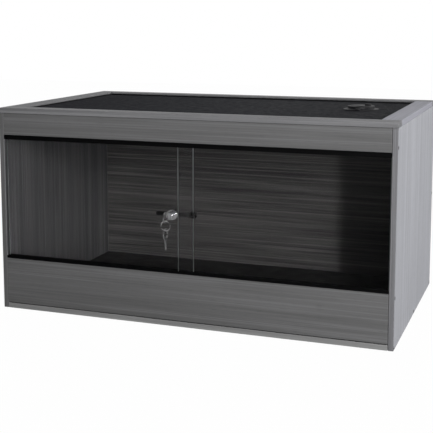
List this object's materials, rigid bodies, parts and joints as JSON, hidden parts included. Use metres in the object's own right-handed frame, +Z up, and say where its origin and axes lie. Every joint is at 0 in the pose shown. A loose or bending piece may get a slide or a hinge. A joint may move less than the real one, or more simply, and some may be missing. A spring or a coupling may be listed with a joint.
{
  "type": "terrarium cabinet",
  "caption": "Wide front-opening terrarium cabinet with sliding glass doors, a keyed showcase lock, a screened top with a cable port, and deep lower fascia.",
  "frame": {"origin": "centre of the underside of the carcass, on the floor plane", "axes": "+X to the right along the front, +Y to the back, +Z up; the glass doors face -Y"},
  "size_m": [0.914, 0.5887, 0.476],
  "materials": {
    "outer_laminate": "light grey wood-grain laminate",
    "front_laminate": "dark grey wood-grain laminate",
    "edge_laminate": "mid grey wood-grain laminate",
    "liner": "smooth black sheet",
    "black_plastic": "satin black",
    "screen": "black woven wire",
    "clear_glass": "clear float glass, polished edges",
    "black_steel": "black",
    "chrome": "polished",
    "plug_steel": "brushed",
    "nickel": "nickel plated",
    "grey_plastic": "dark grey",
    "beech": "plain"
  },
  "bodies": {
    "cabinet": {"side_panel_left": "outer_laminate", "side_panel_right": "outer_laminate", "top_rail_left": "outer_laminate", "top_rail_right": "outer_laminate", "top_rail_front": "edge_laminate", "top_rail_back": "edge_laminate", "base_panel": "edge_laminate", "back_panel": "front_laminate", "fascia_lower": "front_laminate", "fascia_upper": "front_laminate", "floor_liner": "liner", "screen_batten_left": "black_plastic", "screen_batten_right": "black_plastic", "screen_batten_front": "black_plastic", "screen_batten_back": "black_plastic", "track_upper": "black_plastic", "track_lower": "black_plastic", "screen_mesh": "screen", "screw_upper_fascia_left": "black_steel", "screw_upper_fascia_right": "black_steel", "screw_lower_fascia_left": "black_steel", "screw_lower_fascia_right": "black_steel", "screw_base_front_left": "black_steel", "screw_base_front_right": "black_steel", "screw_base_middle_left": "black_steel", "screw_base_middle_right": "black_steel", "screw_base_back_left": "black_steel", "screw_base_back_right": "black_steel", "screw_back_middle_left": "black_steel", "screw_back_middle_right": "black_steel", "screw_back_top_left": "black_steel", "screw_back_top_right": "black_steel", "port_base": "grey_plastic", "port_clamp": "grey_plastic", "dowel_panel_front_left": "beech", "dowel_panel_front_right": "beech", "dowel_panel_back_left": "beech", "dowel_panel_back_right": "beech", "dowel_corner_front_left": "beech", "dowel_corner_front_right": "beech", "dowel_corner_back_left": "beech", "dowel_corner_back_right": "beech"},
    "door_left": {"glass_door_left": "clear_glass", "lock_bar": "black_steel"},
    "door_right": {"glass_door_right": "clear_glass"},
    "lock": {"lock_body": "chrome"},
    "key": {"lock_plug": "plug_steel", "key": "nickel"},
    "pawl": {"lock_pawl": "nickel"},
    "ring": {"key_ring": "nickel"},
    "spare_key": {"spare_key": "nickel"},
    "port_lid": {"port_lid": "grey_plastic"}
  },
  "joints": [
    {"name": "door_left_slide", "type": "slide", "parent": "cabinet", "child": "door_left", "axis": [1, 0, 0], "range_m": [0, 0.421]},
    {"name": "door_right_slide", "type": "slide", "parent": "cabinet", "child": "door_right", "axis": [-1, 0, 0], "range_m": [0, 0.347]},
    {"name": "lock_slide", "type": "slide", "parent": "door_right", "child": "lock", "axis": [-1, 0, 0], "range_m": [0, 0.055]},
    {"name": "key_turn", "type": "hinge", "parent": "lock", "child": "key", "pos_m": [-0.029, -0.2864, 0.25], "axis": [0, 1, 0], "range_deg": [0, 90]},
    {"name": "pawl_lift", "type": "slide", "parent": "lock", "child": "pawl", "axis": [0, 0, 1], "range_m": [0, 0.0014]},
    {"name": "ring_hang", "type": "hinge", "parent": "key", "child": "ring", "pos_m": [-0.029, -0.3057, 0.2395], "axis": [0, 1, 0], "range_deg": [-90, 0]},
    {"name": "spare_key_swing", "type": "hinge", "parent": "ring", "child": "spare_key", "pos_m": [-0.029, -0.3057, 0.22166], "axis": [1, 0, 0], "range_deg": [-60, 25]},
    {"name": "port_lid_turn", "type": "hinge", "parent": "cabinet", "child": "port_lid", "pos_m": [0.319, 0.04, 0.4705], "axis": [0, 0, 1], "range_deg": [0, 180]}
  ],
  "couplings": [
    {"joint": "pawl_lift", "follows": "key_turn", "m_per_rad": 0.00089},
    {"joint": "ring_hang", "follows": "key_turn", "ratio": -1}
  ]
}
